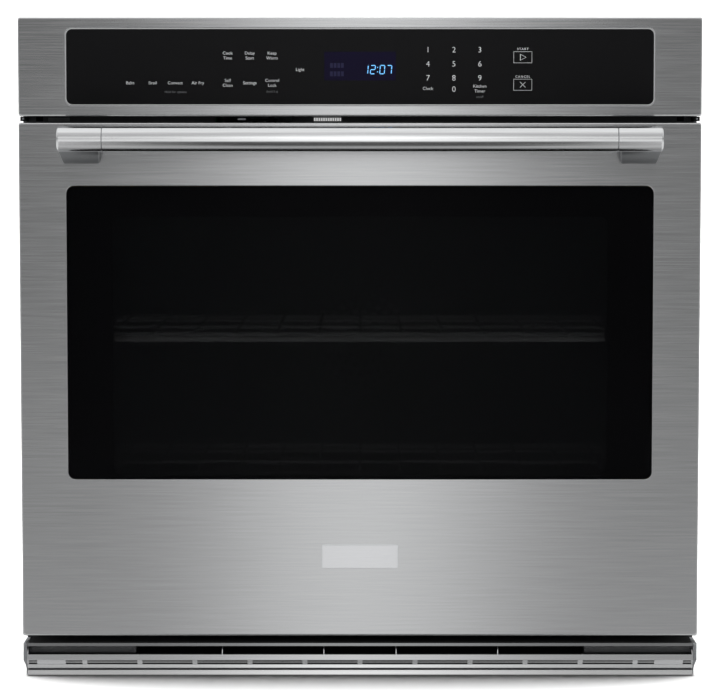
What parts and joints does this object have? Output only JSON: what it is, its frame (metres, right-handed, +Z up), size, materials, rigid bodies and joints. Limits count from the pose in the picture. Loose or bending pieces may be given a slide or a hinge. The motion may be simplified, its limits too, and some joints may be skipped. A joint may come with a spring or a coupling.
{
  "type": "wall oven",
  "caption": "Built-in electric convection wall oven with a drop-down glazed door on sprung hinges, sliding wire racks, a touch control panel, fans, heaters and a bottom air vent.",
  "frame": {"origin": "middle of the chassis underside, where it stands on the cabinet's floor", "axes": "+X to the right as the cook sees it, +Y from the door towards the back of the cabinet, +Z up"},
  "size_m": [0.7556, 0.6978, 0.7337],
  "materials": {
    "stainless": "brushed along the width, satin",
    "trim_plastic": "moulded, painted silver grey",
    "black_glass": "black printed toughened glass, polished",
    "clear_glass": "clear toughened glass",
    "enamel": "dark porcelain enamel with fine pale flecks",
    "galvanised": "galvanised sheet, spangled",
    "frame_paint": "dark grey heat-resistant paint",
    "hinge_steel": "zinc plated",
    "rack_wire": "bright chromed wire",
    "wool": "yellow mineral wool",
    "seal": "woven glass-fibre seal",
    "element": "dark oxidised steel sheath",
    "fan_metal": "plain aluminised sheet",
    "motor": "dark lacquered laminations",
    "board": "green fibreglass board",
    "black_plastic": "moulded, fine grain"
  },
  "bodies": {
    "chassis": {"control_panel_frame": "stainless", "bottom_trim_face": "stainless", "bottom_trim_baffles": "stainless", "bottom_trim_end_caps": "trim_plastic", "control_glass": "black_glass", "lamp_lens": "clear_glass", "lamp_bulb": "clear_glass", "oven_cavity": "enamel", "fan_cover": "enamel", "base_pan": "galvanised", "right_side_panel": "galvanised", "left_side_panel": "galvanised", "back_panel": "galvanised", "top_panel": "galvanised", "component_deck": "galvanised", "base_air_plenum": "galvanised", "rear_air_duct": "galvanised", "cooling_blower_housing": "galvanised", "junction_box": "galvanised", "latch_plate": "galvanised", "lamp_housing": "galvanised", "front_frame": "frame_paint", "hinge_receivers": "hinge_steel", "hinge_arms": "hinge_steel", "chassis_screws": "hinge_steel", "conduit_connector": "hinge_steel", "insulation_wrap": "wool", "door_gasket": "seal", "broil_element": "element", "bake_element": "element", "convection_element": "element", "temperature_probe": "element", "convection_motor": "motor", "cooling_motor": "motor", "latch_motor": "motor", "user_interface_board": "board", "relay_board": "board", "control_tray": "black_plastic", "display_module": "black_plastic", "door_switch_body": "black_plastic"},
    "door": {"door_outer_skin": "stainless", "door_outer_glass": "black_glass", "window_pack_frame": "galvanised", "door_middle_glass": "clear_glass", "door_inner_glass": "clear_glass", "door_inner_liner": "enamel", "door_insulation": "wool", "nameplate": "stainless", "handle_bar": "stainless", "handle_brackets": "stainless", "handle_screws": "hinge_steel", "hinge_channels": "hinge_steel", "hinge_pins": "hinge_steel", "hinge_springs": "hinge_steel"},
    "rack_upper_body": {"rack_upper": "rack_wire"},
    "rack_lower_body": {"rack_lower": "rack_wire"},
    "convection_fan": {"convection_fan_blade": "fan_metal"},
    "cooling_fan": {"cooling_fan_wheel": "fan_metal"},
    "latch": {"latch_hook": "hinge_steel"},
    "switch": {"door_switch_plunger": "black_plastic"}
  },
  "joints": [
    {"name": "door_hinge", "type": "hinge", "parent": "chassis", "child": "door", "pos_m": [0, -0.323, 0.039], "axis": [1, 0, 0], "range_deg": [0, 90], "stiffness_Nm_per_rad": 13, "springref_deg": -22.92, "deforming": ["hinge_springs"]},
    {"name": "rack_upper_slide", "type": "slide", "parent": "chassis", "child": "rack_upper_body", "axis": [0, -1, 0], "range_m": [0, 0.25]},
    {"name": "rack_lower_slide", "type": "slide", "parent": "chassis", "child": "rack_lower_body", "axis": [0, -1, 0], "range_m": [0, 0.25]},
    {"name": "door_switch_travel", "type": "slide", "parent": "chassis", "child": "switch", "axis": [0, -1, 0], "range_m": [0, 0.006]},
    {"name": "latch_swing", "type": "hinge", "parent": "chassis", "child": "latch", "pos_m": [-0.1, -0.265, 0.5955], "axis": [0, 0, 1], "range_deg": [0, 90]},
    {"name": "convection_fan_spin", "type": "hinge", "parent": "chassis", "child": "convection_fan", "pos_m": [0, 0.19, 0.3175], "axis": [0, 1, 0], "continuous": true},
    {"name": "cooling_fan_spin", "type": "hinge", "parent": "chassis", "child": "cooling_fan", "pos_m": [0.15, 0.085, 0.6], "axis": [0, 0, 1], "continuous": true}
  ],
  "couplings": [
    {"joint": "rack_upper_slide", "follows": "door_hinge", "m_per_rad": 0.159},
    {"joint": "rack_lower_slide", "follows": "door_hinge", "m_per_rad": 0.159},
    {"joint": "door_switch_travel", "follows": "door_hinge", "m_per_rad": 0.0038}
  ]
}
